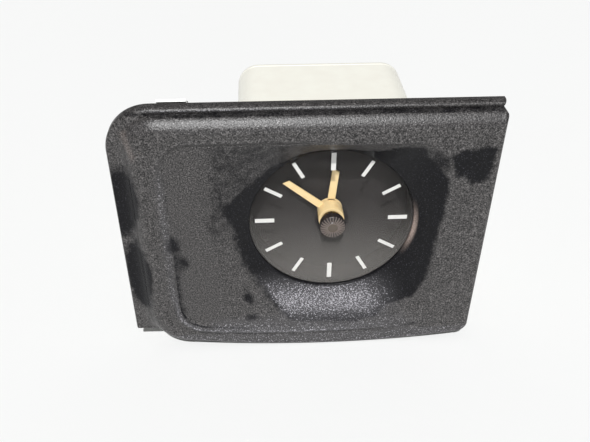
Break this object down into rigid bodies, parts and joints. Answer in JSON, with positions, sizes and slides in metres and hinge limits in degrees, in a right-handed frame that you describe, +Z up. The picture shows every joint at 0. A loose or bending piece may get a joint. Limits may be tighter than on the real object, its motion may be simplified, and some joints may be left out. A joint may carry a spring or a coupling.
{
  "type": "car dashboard clock",
  "caption": "Car dashboard clock: black moulded fascia with a set-back round dial, push-to-set knob in the lens and a boxed quartz movement behind.",
  "frame": {"origin": "on the arbor axis, in the plane of the rear seat and of the fixing bosses", "axes": "+X to the right seen from the front, +Y backwards into the dashboard, +Z up"},
  "size_m": [0.1078, 0.068, 0.0851],
  "materials": {
    "black_plastic": "grained",
    "spring_steel": "bright",
    "clear": "clear",
    "white_print": "printed",
    "dial_black": "matt",
    "hand_cream": "satin",
    "knob_black": "satin",
    "steel": "bright",
    "brass": "turned",
    "ivory_plastic": "moulded",
    "magnet": "sintered",
    "iron": "pressed",
    "bobbin_plastic": "moulded",
    "copper_wire": "enamelled",
    "board_green": "lacquered",
    "part_black": "moulded",
    "blade_brass": "tinned",
    "holder_black": "moulded",
    "bulb_glass": "clear"
  },
  "bodies": {
    "housing": {"fascia": "black_plastic", "retaining_clips": "spring_steel", "lens": "clear", "hour_marks": "white_print", "dial_cup": "dial_black", "case_shell": "ivory_plastic", "module_screws": "steel", "rear_cover": "ivory_plastic", "cover_screws": "steel", "front_plate": "brass", "rear_plate": "brass", "plate_pillars": "brass", "pillar_screws": "steel", "movement_screws": "steel", "minute_wheel_post": "steel", "stator": "iron", "stator_posts": "brass", "stator_screws": "steel", "coil_core": "iron", "coil_bobbin": "bobbin_plastic", "coil_winding": "copper_wire", "circuit_board": "board_green", "board_spacers": "brass", "board_screws": "steel", "quartz_can": "steel", "board_parts": "part_black", "terminal_blades": "blade_brass", "set_spring": "spring_steel", "spring_screw": "steel"},
    "minute_group": {"minute_hand": "hand_cream", "centre_wheel": "brass"},
    "hour_group": {"hour_hand": "hand_cream", "hour_wheel": "brass"},
    "motion_group": {"minute_wheel": "brass"},
    "third_group": {"third_wheel": "brass"},
    "rotor_group": {"rotor": "magnet"},
    "stem_slide": {"stem_collar": "brass"},
    "knob_group": {"set_knob": "knob_black", "setting_stem": "steel"},
    "lamp_group": {"lamp_holder": "holder_black", "lamp_bulb": "bulb_glass"}
  },
  "joints": [
    {"name": "minute_turn", "type": "hinge", "parent": "housing", "child": "minute_group", "pos_m": [0, 0, 0], "axis": [0, 1, 0], "continuous": true},
    {"name": "hour_turn", "type": "hinge", "parent": "housing", "child": "hour_group", "pos_m": [0, 0, 0], "axis": [0, 1, 0], "continuous": true},
    {"name": "motion_turn", "type": "hinge", "parent": "housing", "child": "motion_group", "pos_m": [0, 0, 0.0072], "axis": [0, 1, 0], "continuous": true},
    {"name": "third_turn", "type": "hinge", "parent": "housing", "child": "third_group", "pos_m": [-0.00779, 0, -0.0045], "axis": [0, 1, 0], "continuous": true},
    {"name": "rotor_turn", "type": "hinge", "parent": "housing", "child": "rotor_group", "pos_m": [-0.01036, 0, -0.01155], "axis": [0, 1, 0], "continuous": true},
    {"name": "knob_push", "type": "slide", "parent": "housing", "child": "stem_slide", "axis": [0, 1, 0], "range_m": [0, 0.0015], "stiffness_N_per_m": 600, "springref_m": -0.0008, "deforming": ["set_spring"]},
    {"name": "knob_turn", "type": "hinge", "parent": "stem_slide", "child": "knob_group", "pos_m": [0, 0, 0], "axis": [0, 1, 0], "continuous": true},
    {"name": "lamp_twist", "type": "hinge", "parent": "housing", "child": "lamp_group", "pos_m": [0.012, 0, 0.014], "axis": [0, 1, 0], "range_deg": [0, 60]}
  ],
  "couplings": [
    {"joint": "hour_turn", "follows": "minute_turn", "ratio": 0.083333},
    {"joint": "motion_turn", "follows": "minute_turn", "ratio": -0.33333},
    {"joint": "third_turn", "follows": "minute_turn", "ratio": -5},
    {"joint": "rotor_turn", "follows": "minute_turn", "ratio": 25}
  ]
}
